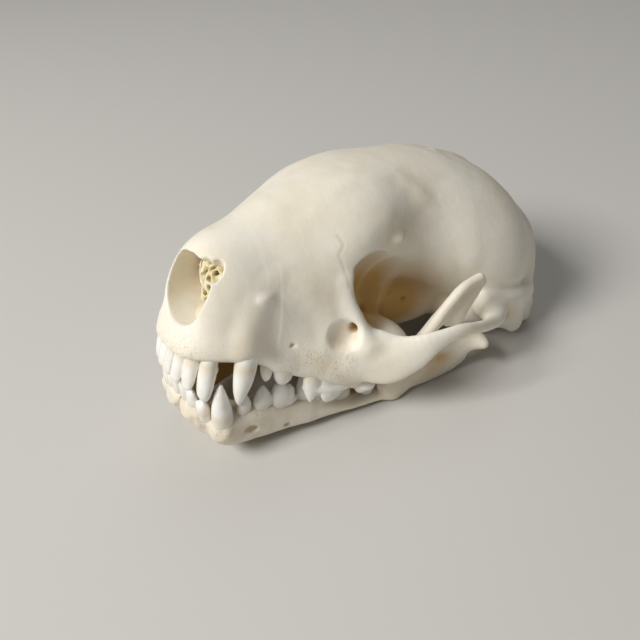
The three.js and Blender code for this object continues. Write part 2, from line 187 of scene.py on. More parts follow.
def grow(field, form, blend):
    cut, gx, gy, gz = windowOf(field, form, blend + limits["marginMm"])
    d = form["distance"](gx, gy, gz, field["voxel"])
    field["value"][cut] = softMin(field["value"][cut], d, blend)


def carve(field, form, blend):
    cut, gx, gy, gz = windowOf(field, form, blend + limits["marginMm"])
    d = form["distance"](gx, gy, gz, field["voxel"])
    field["value"][cut] = -softMin(-field["value"][cut], d, blend)


def swell(field, points, height, width):
    # raises (or sinks, with a height below 0) the surface along a line
    path = np.array(points, float)
    form = {"low": path.min(0), "high": path.max(0)}
    cut, gx, gy, gz = windowOf(field, form, 3 * width)
    field["value"][cut] -= height * np.exp(-(lineDistance(path, gx, gy, gz) / width)**2)


def lineDistance(path, gx, gy, gz):
    best = None
    for a, b in zip(path[:-1], path[1:]):
        run = b - a
        dx, dy, dz = gx - a[0], gy - a[1], gz - a[2]
        u = np.clip((dx * run[0] + dy * run[1] + dz * run[2]) / (run @ run), 0, 1)
        d = (dx - u * run[0])**2 + (dy - u * run[1])**2 + (dz - u * run[2])**2
        best = d if best is None else np.minimum(best, d)
    return np.sqrt(best)


def unevenness(field, cellMm, seed):
    # smooth random bumps between -1 and 1 with cells of this size
    dice = np.random.default_rng(seed)
    places = [(axis - axis[0]) / cellMm for axis in field["axes"]]
    lattice = dice.uniform(-1, 1, [int(p[-1]) + 2 for p in places]).astype(np.float32)
    for k, p in enumerate(places):
        i = np.floor(p).astype(int)
        f = (p - i).astype(np.float32)
        f = (f * f * (3 - 2 * f)).reshape([-1 if n == k else 1 for n in range(3)])
        lattice = np.take(lattice, i, axis=k) * (1 - f) + np.take(lattice, i + 1, axis=k) * f
    return lattice


def mirrorAcross(field):
    # the field holds x from 0 up; the whole one runs from the far side through 0
    half = field["value"]
    field["value"] = np.concatenate([half[:0:-1], half], axis=0)
    field["axes"][0] = np.concatenate([-field["axes"][0][:0:-1], field["axes"][0]])
    field["low"][0] = field["axes"][0][0]


def boxBlur(values, reach):
    for axis in range(3):
        total = np.cumsum(values, axis=axis, dtype=np.float64)
        n = values.shape[axis]
        i = np.arange(n)
        ahead = np.take(total, np.minimum(i + reach, n - 1), axis=axis)
        behind = np.take(total, np.maximum(i - reach - 1, 0), axis=axis)
        values = ((ahead - behind) / (2 * reach + 1)).astype(np.float32)
    return values


def sampleAt(field, values, points):
    place = (points - field["low"]) / field["voxel"]
    place = np.clip(place, 0, np.array(values.shape) - 1.001)   # just inside the last cell
    i = place.astype(int)
    f = place - i
    total = 0
    for a in (0, 1):
        for b in (0, 1):
            for c in (0, 1):
                weight = (np.where(a, f[:, 0], 1 - f[:, 0]) * np.where(b, f[:, 1], 1 - f[:, 1])
                          * np.where(c, f[:, 2], 1 - f[:, 2]))
                total = total + weight * values[i[:, 0] + a, i[:, 1] + b, i[:, 2] + c]
    return total


def largestPart(points, faces):
    label = np.arange(len(points))
    ends = np.concatenate([faces[:, [0, 1]], faces[:, [1, 2]], faces[:, [2, 3]], faces[:, [3, 0]]])
    while True:
        low = np.minimum(label[ends[:, 0]], label[ends[:, 1]])
        new = label.copy()
        np.minimum.at(new, ends[:, 0], low)
        np.minimum.at(new, ends[:, 1], low)
        new = new[new]
        if (new == label).all():
            break
        label = new
    names, count = np.unique(label, return_counts=True)
    kept = label == names[count.argmax()]
    order = np.cumsum(kept) - 1
    return points[kept], order[faces[kept[faces[:, 0]]]]


def meshOf(field, whole=True):
    # the zero surface of the field as a smooth mesh, still in millimetres in the skull's frame
    near = limits["bandVoxels"] * field["voxel"]
    grid = openvdb.FloatGrid(near)
    grid.copyFromArray(np.clip(field["value"], -near, near))
    points, _, faces = grid.convertToPolygons(isovalue=0.0, adaptivity=0.0)
    points = points.astype(float) * field["voxel"] + field["low"]
    faces = faces.astype(int)
    if whole:
        points, faces = largestPart(points, faces)
    a, b, c = (points[faces[:, k]] for k in (0, 1, 2))
    if np.einsum("ij,ij->", a, np.cross(b, c)) < 0:
        faces = faces[:, ::-1]
    return points, faces


def pieceOf(name, points, faces, material, attributes, turnOver=False):
    if turnOver:
        points = points * np.array([-1, 1, 1])
        faces = faces[:, ::-1]
    placed = points @ np.array(toFrame.to_3x3()).T + np.array(toFrame.translation)
    mesh = bpy.data.meshes.new(name)
    mesh.vertices.add(len(placed))
    mesh.vertices.foreach_set("co", placed.astype(np.float32).ravel())
    mesh.loops.add(faces.size)
    mesh.loops.foreach_set("vertex_index", np.ascontiguousarray(faces, dtype=np.int32).ravel())
    mesh.polygons.add(len(faces))
    mesh.polygons.foreach_set("loop_start", np.arange(0, faces.size, 4, dtype=np.int32))
    mesh.update(calc_edges=True)
    mesh.shade_smooth()
    for key, values in attributes.items():
        layer = mesh.attributes.new(key, "FLOAT", "POINT")
        layer.data.foreach_set("value", np.ascontiguousarray(values, dtype=np.float32))
    mesh.materials.append(material)
    piece = bpy.data.objects.new(name, mesh)
    bpy.context.scene.collection.objects.link(piece)
    print("piece", name, len(faces), "faces")
    return piece


def hollowness(field, points, reachMm):
    # 0.5 on flat bone, more in recesses, less on edges
    filled = boxBlur((field["value"] < 0).astype(np.float32), max(1, int(reachMm / field["voxel"])))
    return sampleAt(field, filled, points)


def nearness(points, spots):
    # how near each point is to any of the spots, given as (place, reach in mm)
    near = np.zeros(len(points))
    for place, reach in spots:
        near = np.maximum(near, np.exp(-(((points - np.array(place))**2).sum(1)) / reach**2))
    return near


def seamOn(points, lines, width, axisZ=12):
    # a seam is given as places y in mm and degrees above level, seen from the skull's long axis
    x, y, z = np.abs(points[:, 0]), points[:, 1], points[:, 2] - axisZ
    mmPerDegree = np.hypot(x, z) * math.pi / 180
    turn = np.degrees(np.arctan2(z, x))
    best = np.full(len(points), float(limits["outsideMm"]))
    for line in lines:
        for (startY, startTurn), (endY, endTurn) in zip(line[:-1], line[1:]):
            along, rise = endY - startY, (endTurn - startTurn) * mmPerDegree
            dy, dt = y - startY, (turn - startTurn) * mmPerDegree
            u = np.clip((dy * along + dt * rise) / np.maximum(along**2 + rise**2, limits["smallestSquare"]),
                        0, 1)
            best = np.minimum(best, np.hypot(dy - u * along, dt - u * rise))
    return np.exp(-(best / width)**2)


def linearOf(hexColour):
    parts = [int(hexColour[k:k + 2], 16) / 255 for k in (1, 3, 5)]
    return [p / 12.92 if p <= 0.04045 else ((p + 0.055) / 1.055)**2.4 for p in parts] + [1]


def addNode(tree, kind, settings=None, links=None):
    node = tree.nodes.new(kind)
    for key, value in (settings or {}).items():
        if key in node.inputs:
            node.inputs[key].default_value = value
        else:
            setattr(node, key, value)
    for key, source in (links or {}).items():
        tree.links.new(source, node.inputs[key])
    return node


def newMaterial(name):
    material = bpy.data.materials.new(name)
    material.use_nodes = True
    tree = material.node_tree
    tree.nodes.clear()
    return material, tree


def mixColour(tree, factor, first, second):
    node = addNode(tree, "ShaderNodeMix", {"data_type": "RGBA"})
    # the factor and the two colours are the sockets numbered 0, 6 and 7, and the mixed colour is output 2
    for slot, given in ((0, factor), (6, first), (7, second)):
        if isinstance(given, (int, float, list, tuple)):
            node.inputs[slot].default_value = given
        else:
            tree.links.new(given, node.inputs[slot])
    return node.outputs[2]


def addBump(tree, strengthAndHeight, links, sunk=False):
    strength, height = strengthAndHeight
    return addNode(tree, "ShaderNodeBump", {"Strength": strength, "Distance": height, "invert": sunk},
                   links).outputs[0]


def ramp(tree, source, low, high, start=0, end=1):
    return addNode(tree, "ShaderNodeMapRange",
                   {"From Min": low, "From Max": high, "To Min": start, "To Max": end},
                   {"Value": source}).outputs[0]


# recess and deep are browns mixed into the hollows as painted shade; recess also carries the bone's own stain
boneLook = {"pale": "#F6F1E4", "cream": "#ECE1C9", "recessStainAndShade": "#D2A552", "deepShade": "#9A6A24", "seam": "#C4B28C",
            "roughness": 0.52, "roughnessSpread": (-0.06, 0.08), "poreMm": 0.35, "grainMm": 0.9,
            "mottleMm": 9.0, "ior": 1.5, "specular": 0.42, "glow": 0.22, "glowColour": (1.0, 0.62, 0.36),
            "glowM": 0.0016,
            # where each layer of colour starts and is full, and how much of it shows at both
            "mottleRange": (0.42, 0.78), "grainRange": (0.5, 0.8, 0, 0.3),
            "hollowShadeRange": (0.62, 0.9, 0, 0.5), "stainAndShadeRange": (0.06, 0.7, 0, 0.92), "deepShadeRange": (0.5, 0.74),
            "seamRange": (0.2, 1, 0, 0.22), "glossRange": (0.3, 0.7), "poreRange": (0.0, 0.35),
            # strength and height in metres
            "grainBump": (0.28, 0.00016), "poreBump": (0.7, 0.00022), "seamBump": (0.25, 0.00015)}


def makeBone(name, look):
    # dry cleaned bone: matte cream, a soft waxy glow, small pores; the brown-yellow in the recesses is stain
    # plus painted shade
    material, tree = newMaterial(name)
    place = addNode(tree, "ShaderNodeTexCoord").outputs["Object"]
    mottle = addNode(tree, "ShaderNodeTexNoise",
                     {"Scale": 1000 / look["mottleMm"], "Detail": 4.0, "Roughness": 0.6},
                     {"Vector": place}).outputs["Fac"]
    grain = addNode(tree, "ShaderNodeTexNoise",
                    {"Scale": 1000 / look["grainMm"], "Detail": 5.0, "Roughness": 0.65},
                    {"Vector": place}).outputs["Fac"]
    pores = addNode(tree, "ShaderNodeTexVoronoi", {"Scale": 1000 / look["poreMm"], "feature": "F1"},
                    {"Vector": place}).outputs["Distance"]
    hollow, stainAndShade, porous, seam = (
        addNode(tree, "ShaderNodeAttribute", {"attribute_name": key}).outputs["Fac"]
        for key in ("hollow", "stainAndShade", "porous", "seam"))
    colour = mixColour(tree, ramp(tree, mottle, *look["mottleRange"]), linearOf(look["pale"]),
                       linearOf(look["cream"]))
    colour = mixColour(tree, ramp(tree, grain, *look["grainRange"]), colour, linearOf(look["cream"]))
    # painted shade: recesses are mixed towards brown by the hollow value
    colour = mixColour(tree, ramp(tree, hollow, *look["hollowShadeRange"]), colour, linearOf(look["recessStainAndShade"]))
    # the stain layer: the bone's own brown-yellow and painted shade, in the orbit, nose, palate and ear
    colour = mixColour(tree, ramp(tree, stainAndShade, *look["stainAndShadeRange"]), colour, linearOf(look["recessStainAndShade"]))
    # painted shade: deeper brown where stained bone lies in deep hollows
    deepShadeAmount = addNode(tree, "ShaderNodeMath", {"operation": "MULTIPLY"},
                       {0: stainAndShade, 1: ramp(tree, hollow, *look["deepShadeRange"])})
    colour = mixColour(tree, deepShadeAmount.outputs[0], colour, linearOf(look["deepShade"]))
    colour = mixColour(tree, ramp(tree, seam, *look["seamRange"]), colour, linearOf(look["seam"]))
    shader = addNode(tree, "ShaderNodeBsdfPrincipled", {
        "IOR": look["ior"], "Subsurface Weight": look["glow"], "Subsurface Radius": look["glowColour"],
        "Subsurface Scale": look["glowM"], "Specular IOR Level": look["specular"]}, {"Base Color": colour})
    glossy, dull = (look["roughness"] + change for change in look["roughnessSpread"])
    rough = ramp(tree, grain, *look["glossRange"], glossy, dull)
    tree.links.new(rough, shader.inputs["Roughness"])
    # bump: fine grain everywhere, open pores where the bone is spongy, and the seams between bones. Real pores
    # are about 0.1 mm and are drawn coarser, so that they show.
    holes = addNode(tree, "ShaderNodeMath", {"operation": "MULTIPLY"},
                    {0: ramp(tree, pores, *look["poreRange"]), 1: porous})
    normal = addBump(tree, look["grainBump"], {"Height": grain})
    normal = addBump(tree, look["poreBump"], {"Height": holes.outputs[0], "Normal": normal})
    normal = addBump(tree, look["seamBump"], {"Height": seam, "Normal": normal}, sunk=True)
    tree.links.new(normal, shader.inputs["Normal"])
    addNode(tree, "ShaderNodeOutputMaterial", {}, {"Surface": shader.outputs[0]})
    return material


def makeEnamel(name, look):
    # tooth enamel: whiter and glossier than the bone, a little see-through at the edges, cream at the neck
    material, tree = newMaterial(name)
    place = addNode(tree, "ShaderNodeTexCoord").outputs["Object"]
    cloud = addNode(tree, "ShaderNodeTexNoise", {"Scale": 1000 / look["cloudMm"], "Detail": 3.0},
                    {"Vector": place})
    neck = addNode(tree, "ShaderNodeAttribute", {"attribute_name": "neck"}).outputs["Fac"]
    milky = ramp(tree, cloud.outputs["Fac"], *look["cloudRange"])
    colour = mixColour(tree, milky, linearOf(look["white"]), linearOf(look["milk"]))
    colour = mixColour(tree, ramp(tree, neck, *look["neckRange"]), colour, linearOf(look["neck"]))
    shader = addNode(tree, "ShaderNodeBsdfPrincipled", {
        "IOR": look["ior"], "Subsurface Weight": look["glow"], "Subsurface Radius": look["glowColour"],
        "Subsurface Scale": look["glowM"], "Roughness": look["roughness"]}, {"Base Color": colour})
    ripple = addNode(tree, "ShaderNodeTexNoise", {"Scale": 1000 / look["rippleMm"], "Detail": 2.0},
                     {"Vector": place})
    bump = addBump(tree, look["rippleBump"], {"Height": ripple.outputs["Fac"]})
    tree.links.new(bump, shader.inputs["Normal"])
    addNode(tree, "ShaderNodeOutputMaterial", {}, {"Surface": shader.outputs[0]})
    return material


enamelLook = {"white": "#F6F4EF", "milk": "#ECE8DE", "neck": "#D9C8A2", "roughness": 0.24, "cloudMm": 2.0,
              "rippleMm": 0.6, "ior": 1.62, "glow": 0.25, "glowColour": (1.0, 0.8, 0.62), "glowM": 0.0009,
              "cloudRange": (0.4, 0.7), "neckRange": (0.1, 1.0, 0, 0.5), "rippleBump": (0.15, 0.0001)}
bone = makeBone("dryBone", boneLook)
jawBone = makeBone("jawBone", dict(boneLook, pale="#EFE8DA", cream="#E2D6BF"))
# the scroll bones are yellower: painted glow, standing in for light through the thin bone
scrollBoneGlow = makeBone("scrollBoneGlow", dict(boneLook, pale="#EFE3C2", cream="#E3CF9E", recessStainAndShade="#C9A563"))
enamel = makeEnamel("toothEnamel", enamelLook)
print("materials made")


# face and braincase in one. Everything is in millimetres: lofts have stations along y, bars have x, y, z,
# half thickness and half height, eggs have a centre, three radii and turns in degrees. "joinMm" is how
# softly each form runs into the bone.
cranium = {
    "box": ((0, -1.5, -4.5), (20.6, 58, 27.6)),
    "joinMm": {"vault": 2.6, "muzzle": 2.6, "premaxilla": 1.2, "cheek": 2.2, "canineRoot": 1.4,
               "earShelf": 1.6, "neckCrest": 1.8, "toothRidge": 1.2, "orbitFloor": 1.2, "throatWall": 1.6,
               "wing": 0.8, "arch": 1.0, "foramenBar": 1.5},
    "vault": {"span": (12.5, 55.4), "ends": 5,
              "top": [(8, 14.2), (12.5, 18.2), (17.5, 22.3), (22, 24.4), (28, 25.4), (34, 25.6), (40, 25.1),
                      (48, 22.9), (55.4, 17.2)],
              "bottom": [(12.5, 9), (21, 8), (28.8, 7.2), (38.4, 5.5), (48, 4.2), (55.4, 4.2)],
              "half": [(8, 3.4), (12.5, 5.6), (18, 9), (23, 9.8), (28.8, 9.2), (32.6, 10), (38.4, 12.9),
                       (46, 14.6), (55.4, 12.4)],
              "middle": [(8, 11.4), (12.5, 14), (21, 17.6), (28.8, 17), (38.4, 13.8), (48, 11.8),
                         (55.4, 10.6)],
              "upper": [(12.5, 2.1), (48, 2.15), (55.4, 2.3)],
              "lower": [(12.5, 1.8), (28.8, 1.7), (38.4, 2.1), (55.4, 2.6)]},
    "muzzle": {"span": (1.5, 30.2), "ends": 7,
               "top": [(1.5, 15.6), (3.8, 17.3), (8.6, 19), (13, 21.2), (18, 22.9), (22, 23.5), (30, 23.3)],
               "bottom": [(1.5, 3.6), (7.7, 3), (13.4, 1.4), (19.2, 1.6), (30, 6.4)],
               "half": [(1.5, 5), (3.8, 6), (6.7, 7), (10.5, 7.7), (14.4, 8.9), (18.4, 9.9), (22, 9.7),
                        (30, 6)],
               "middle": [(1.5, 8), (6.7, 7.4), (11.5, 8), (21, 11.4), (30, 14)],
               "upper": 2.05, "lower": [(1.5, 2.6), (9, 5), (17, 5), (30, 2.4)]},
    "premaxilla": {"span": (0.1, 11.5), "ends": 4, "top": [(0.1, 6.6), (4, 9), (11.5, 9)],
                   "bottom": [(0.1, 3.4), (11.5, 3.2)],
                   "half": [(0.1, 4.2), (3, 6), (6, 7.3), (8.6, 7.3), (11.5, 6.6)],
                   "middle": [(0.1, 4.8), (11.5, 6)]},
    "cheek": {"span": (10.5, 27.8), "ends": 4,
              "top": [(10.5, 7), (14.4, 10.8), (18.2, 12.8), (22, 10.2), (27.8, 7)],
              "bottom": [(10.5, 2.2), (14.4, 0.8), (18.2, -0.6), (23, -1.4), (27.8, 1.4)],
              "half": [(10.5, 7), (14.4, 9), (18.2, 11.3), (22, 12.4), (27.8, 9.4)],
              "middle": [(10.5, 4.6), (18.2, 3.4), (27.8, 4)], "lower": 4},
    "throatWall": {"span": (18.5, 42), "ends": 6, "top": 11,
                   "bottom": [(18.5, 3), (25.4, 2.9), (29, 1.5), (36, 1.7), (42, 3.7)],
                   "half": [(18.5, 8), (24, 7), (30, 6.7), (36, 7.4), (42, 8)], "middle": 7, "lower": 4},
    "arch": [(10.6, 20.2, 3.6, 1.7, 3.0), (13.4, 22.8, 3.9, 1.3, 3.8), (15.7, 24.8, 5.1, 0.95, 2.75),
             (17.5, 27.2, 7.3, 0.8, 1.5), (18.45, 30.6, 8.6, 0.7, 0.9), (18.4, 34, 8.15, 0.7, 0.8),
             (17.6, 37.4, 7.4, 0.85, 0.85), (16.3, 40.2, 6.9, 1.4, 1.1), (14.2, 42.2, 7, 2.4, 1.6),
             (12.4, 43.2, 7.2, 2.6, 1.8)],
    "foramenBar": [(8.9, 18.5, 13.6, 0.8, 0.9), (9.8, 19, 10.9, 0.75, 0.85), (11.2, 19.9, 8.4, 0.75, 0.85),
                   (12.2, 21, 5.8, 1.2, 1.3)],
    "toothRidge": [(6.9, 9, 4.4, 0.8, 0.9), (7.5, 10.7, 3.1, 0.95, 1.05), (8, 13.1, 2.3, 1.05, 1.1),
                   (8.9, 15.6, 1.6, 1.1, 1.2), (9.9, 18.4, 0.5, 1.2, 1.3), (10.3, 21.4, -0.6, 1.3, 1.3),
                   (10.2, 24.4, -0.9, 1.3, 1.2), (9.4, 26.6, 0.4, 1.2, 1.2)],
    "orbitFloor": ((10.4, 24.6, 4.1), (4.6, 3.9, 3.1), (0, 0, 0)),
    "earShelf": [(13.4, 41.6, 7.8, 1.7, 1.3), (14.4, 44.6, 8.2, 1.0, 0.8), (14.2, 48, 8, 0.8, 0.8),
                 (13.2, 51.4, 7.6, 0.8, 0.9)],
    "canineRoot": [(6.3, 6.9, 5.8, 1.3, 1.65), (6.1, 7.3, 8.6, 1.2, 1.6), (5.5, 9, 12, 1.0, 1.4),
                   (5, 11.6, 14.4, 0.8, 1)],
    "wing": [(3.4, 24, 5.6, 0.7, 1.4), (3.5, 28.8, 4, 0.5, 1.8), (3.8, 33.6, 3.6, 0.45, 1.6),
             (4.4, 38.4, 5, 0.6, 1.2)],
    "neckCrest": [(12.8, 51, 7, 0.7, 1), (12, 52.4, 10.4, 0.6, 0.9), (8.4, 53, 16, 0.6, 0.9),
                  (0, 53.2, 18.8, 0.7, 0.9)],
    "eggs": [((8.2, 43.6, 4.8), (4.1, 5.5, 3.2), (0, 0, 14), 1.0),
             ((13, 48.2, 4.8), (2, 3, 3), (8, 12, 0), 1.4), ((14, 49.4, 3), (1, 1.5, 1.5), (0, 0, 0), 0.8),
             ((12, 52, 4.6), (2, 2.8, 2.6), (-8, 0, 0), 1.4),
             ((12.8, 53, 2.9), (1, 1.3, 1.1), (0, 0, 0), 0.8),
             ((12.6, 46.4, 7), (2.2, 4.4, 1.6), (0, 0, 0), 1.6),
             ((5, 53.8, 6.8), (2.3, 2.7, 3.1), (0, 20, 0), 0.8),
             ((9, 25.8, 17.9), (1.2, 1.1, 0.6), (0, 0, 20), 1.0),
             ((6.8, 8.7, 12), (0.5, 0.9, 0.5), (0, 0, 0), 0.8)]}

hollows = {   # what is carved out, and how softly
    "cutMm": {"socket": 0.5, "rim": 0.3, "palate": 0.7, "foramen": 0.5, "canal": 0.3, "throat": 0.6,
              "ear": 0.5, "spine": 0.6, "pits": 0.3, "nose": 0.25, "noseCorner": 0.15, "noseNotch": 0.15},
    "socket": {"span": (17.9, 42.2), "ends": 3.5, "centre": 21,
               "top": [(17.9, 16.8), (22, 18.5), (26.8, 18.6), (31.7, 16.4), (36.5, 13), (42.2, 10.4)],
               "bottom": [(17.9, 7.6), (22, 6.8), (26, 5.4), (30, 3.6), (34.6, 2), (42.2, 5.4)],
               "half": [(17.9, 11), (22, 14.4), (26.8, 15), (31.7, 13), (36.5, 9.2), (42.2, 6)],
               "middle": [(17.9, 11.4), (26, 9.5), (42.2, 8.6)]},
    "rim": ((10, 22.2, 12.4), (3.8, 4, 4.6), (0, 0, 0)),
    "nose": {"span": (-3, 11), "ends": 3, "top": [(-3, 15.4), (2, 15.7), (11, 15.2)],
             "bottom": [(-3, 7), (3.6, 7.3), (11, 8)], "half": [(-3, 3.2), (4.4, 4.1), (11, 3.9)],
             "middle": 11.8},
    "noseCorner": ((2.4, 1.9, 15.2), (0.9, 2.2, 1.2), (0, -28, 0)),
    "noseNotch": ((3.2, 4.1, 13.8), (0.9, 1.3, 2.3), (0, 0, 0)),
    "palate": {"span": (3, 32), "ends": 6, "top": [(3, 4), (10, 3.8), (19, 3.2), (32, 4)], "bottom": -4,
               "half": [(3, 4), (8, 5.4), (13.4, 6.6), (19.2, 7.9), (26, 8), (32, 3)], "middle": 0,
               "upper": 4, "lower": 4},
    "canal": [(11.2, 18.2, 7.3, 0.45, 0.8), (10.6, 20, 7.8, 0.6, 0.9), (10.2, 22.4, 8.8, 0.9, 1.1)],
    "foramen": ((11.3, 17.9, 7), (1.5, 2, 2.1), (0, 0, -22)),
    "throat": [(0, 26, 7.4, 1.8, 1.4), (0, 30, 5.2, 2.6, 1.8), (0, 36, 3.2, 2.8, 1.6)],
    "ear": ((15.6, 45.2, 4.9), (2.8, 1.2, 1.1)),
    "spine": ((0, 55.2, 9), (4.2, 5.2, 3.5)),
    "pits": [((1.5, 7, 3.8), (0.7, 1.7, 1.2)), ((7.5, 29.6, 8.4), (1.2, 0.6, 0.5)),
             ((7.7, 32.2, 7), (1.3, 0.6, 0.5)), ((8.6, 23.6, 8.4), (1.2, 0.7, 0.7)),
             ((8.3, 12.4, 5.6), (0.45, 0.3, 0.26)), ((8.8, 10.6, 11), (0.8, 1.4, 1.2))]}

field = newField(*cranium["box"], detail["boneVoxelMm"])
joins, cuts = cranium["joinMm"], hollows["cutMm"]
for part in ("vault", "muzzle", "premaxilla", "cheek"):
    grow(field, loft(cranium[part]), joins[part])
grow(field, bar(cranium["canineRoot"], reference=(0, 1, 0)), joins["canineRoot"])
for centre, radii, turns, soft in cranium["eggs"]:
    grow(field, egg(centre, radii, turns), soft)
for part in ("earShelf", "neckCrest", "toothRidge"):
    grow(field, bar(cranium[part]), joins[part])
carve(field, loft(hollows["socket"]), cuts["socket"])
carve(field, egg(*hollows["rim"]), cuts["rim"])
grow(field, egg(*cranium["orbitFloor"]), joins["orbitFloor"])   # the shelf stays inside the carved orbit
carve(field, loft(hollows["palate"]), cuts["palate"])
grow(field, loft(cranium["throatWall"]), joins["throatWall"])
for part in ("wing", "arch", "foramenBar"):
    grow(field, bar(cranium[part]), joins[part])
carve(field, egg(*hollows["foramen"]), cuts["foramen"])
for part in ("canal", "throat"):
    carve(field, bar(hollows[part]), cuts[part])
for part in ("ear", "spine"):
    carve(field, egg(*hollows[part]), cuts[part])
for centre, radii in hollows["pits"]:
    carve(field, egg(centre, radii), cuts["pits"])
print("skull forms joined")

ridges = [   # a line on the bone, how far it stands out or lies in, and its width, in mm
    ([(6.4, 13, 20.6), (4, 20, 24.4), (5, 28, 24.6), (8, 31, 22)], 0.18, 1.3),   # temple line
    ([(0, 40, 25.1), (0, 47, 23.3), (0, 53, 19.2)], 0.25, 0.9),   # low rear crest
    ([(13, 32.8, 20), (12.6, 33.8, 17.5), (12.8, 35, 13.6), (12.6, 37, 10)], -0.36, 1.2),   # temple groove
    ([(9, 13, 10), (9.6, 15, 7.6)], -0.22, 1.7)]   # before the orbit
for line, height, width in ridges:
    swell(field, line, height, width)
mirrorAcross(field)
carve(field, loft(hollows["nose"]), cuts["nose"])
for part in ("noseCorner", "noseNotch"):   # the edge of the nose is chipped on the left only
    carve(field, egg(*hollows[part]), cuts[part])
uneven = {"broadMm": 0.05, "broadCellMm": 5.5, "fineMm": 0.035, "fineCellMm": 1.7}
field["value"] += (uneven["broadMm"] * unevenness(field, uneven["broadCellMm"], 3)
                   + uneven["fineMm"] * unevenness(field, uneven["fineCellMm"], 4))

marks = {"hollowMm": 1.6, "stainAndShadeFrom": 0.36, "stainAndShadeOver": 0.14, "seamMm": 0.22}
seams = [[(17.2, 41), (17.6, 35), (17, 29), (17.5, 22), (17.9, 14), (18.3, 6)]]
# brown-yellow spots, kept to hollows: partly the bone's own stain, partly painted shade
stainAndShadeSpots = [((7, 30.5, 6), 5.6), ((7.2, 24.8, 9.6), 4.4), ((9, 22, 8), 2.6), ((14, 45, 4.6), 2.0),
              ((0, 54, 9), 5), ((0, 30, 3), 6), ((0, 12, 3.6), 5), ((3, 19, 3.2), 5.5),
              ((11.6, 46.4, 1.8), 2.6), ((0, 9.5, 11), 3.8)]
porousSpots = [((9.6, 15, 3.2), 2.6), ((11.4, 18.4, 2.4), 2.4), ((7.2, 7, 4.4), 1.6), ((3, 1, 4.4), 3),
               ((12, 51, 5), 3), ((8.6, 12, 3), 2)]


def boneAttributes(field, points, stains, pores, lines):
    # the spots are given on the left; the stain, the bone's own and painted shade, keeps to hollows and stays
    # off edges
    across = np.abs(points * np.array([1, 0, 0])) + points * np.array([0, 1, 1])
    # the hollow value is painted shade: recesses are mixed towards brown
    hollow = hollowness(field, points, marks["hollowMm"])
    inHollow = np.clip((hollow - marks["stainAndShadeFrom"]) / marks["stainAndShadeOver"], 0, 1)
    return {"hollow": hollow, "stainAndShade": nearness(across, stains) * inHollow,
            "porous": nearness(across, pores), "seam": seamOn(across, lines, marks["seamMm"])}


points, faces = meshOf(field)
skullBone = pieceOf("skullBone", points, faces, bone,
                    boneAttributes(field, points, stainAndShadeSpots, porousSpots, seams))
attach(skullBone, "root")
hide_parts("face", "braincase", "cheekbone_left", "cheekbone_right", "temple_arm_left",
            "temple_arm_right")

# the thin scroll bones inside the nose
scrolls = {"near": ((2, 7.2, 12), (1.8, 3.9, 3.7)), "far": ((-2, 9, 11.6), (2.4, 3.6, 4)),
           "shelf": ((2.2, 5.2, 8.4), (2.2, 2.4, 1.4)), "sheetMm": 0.17, "cellMm": 0.95,
           "box": ((-4.8, 1.2, 6.2), (5.2, 12.6, 17)), "voxelShare": 1.2, "longways": 0.6, "thinning": 0.8,
           "warpMm": 0.5, "warpCellMm": 1.6, "edgeMm": 0.35, "edgeCellMm": 1.1, "lumpMm": 0.08,
           "lumpCellMm": 0.7, "wallAt": 0.2, "wallHalfMm": 0.22, "wallProudMm": 0.3, "shelfJoinMm": 0.4,
           "hollowMm": 0.5, "hollowShare": 0.9}
field = newField(*scrolls["box"], detail["toothVoxelMm"] * scrolls["voxelShare"])
gx, gy, gz = acrossGrid(field["axes"])
warp = scrolls["warpMm"] * unevenness(field, scrolls["warpCellMm"], 31)
wave = math.pi / scrolls["cellMm"]
waveY = gy * wave * scrolls["longways"]
swirl = (np.sin((gx + warp) * wave) * np.cos((gz - warp) * wave) + np.sin((gz - warp) * wave) * np.cos(waveY)
         + np.sin(waveY) * np.cos((gx + warp) * wave)) / wave * scrolls["thinning"]
sheets = np.abs(swirl) - scrolls["sheetMm"]
inside = np.minimum(egg(*scrolls["near"])["distance"](gx, gy, gz, field["voxel"]),
                    egg(*scrolls["far"])["distance"](gx, gy, gz, field["voxel"]))
inside = inside + scrolls["edgeMm"] * unevenness(field, scrolls["edgeCellMm"], 32)
wall = np.maximum(np.abs(gx - scrolls["wallAt"]) - scrolls["wallHalfMm"], inside - scrolls["wallProudMm"])
shelf = egg(*scrolls["shelf"])["distance"](gx, gy, gz, field["voxel"])
field["value"] = np.minimum(np.maximum(sheets, inside), wall).astype(np.float32)
field["value"] = (softMin(field["value"], shelf, scrolls["shelfJoinMm"])
                  + scrolls["lumpMm"] * unevenness(field, scrolls["lumpCellMm"], 8))
points, faces = meshOf(field)
# the scroll bones' hollows get painted shade; their stain is left empty
scrollBones = pieceOf("scrollBones", points, faces, scrollBoneGlow, {
    "hollow": hollowness(field, points, scrolls["hollowMm"]) * scrolls["hollowShare"],
    "stainAndShade": np.zeros(len(points)), "porous": np.zeros(len(points)), "seam": np.zeros(len(points))})
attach(scrollBones, "root")

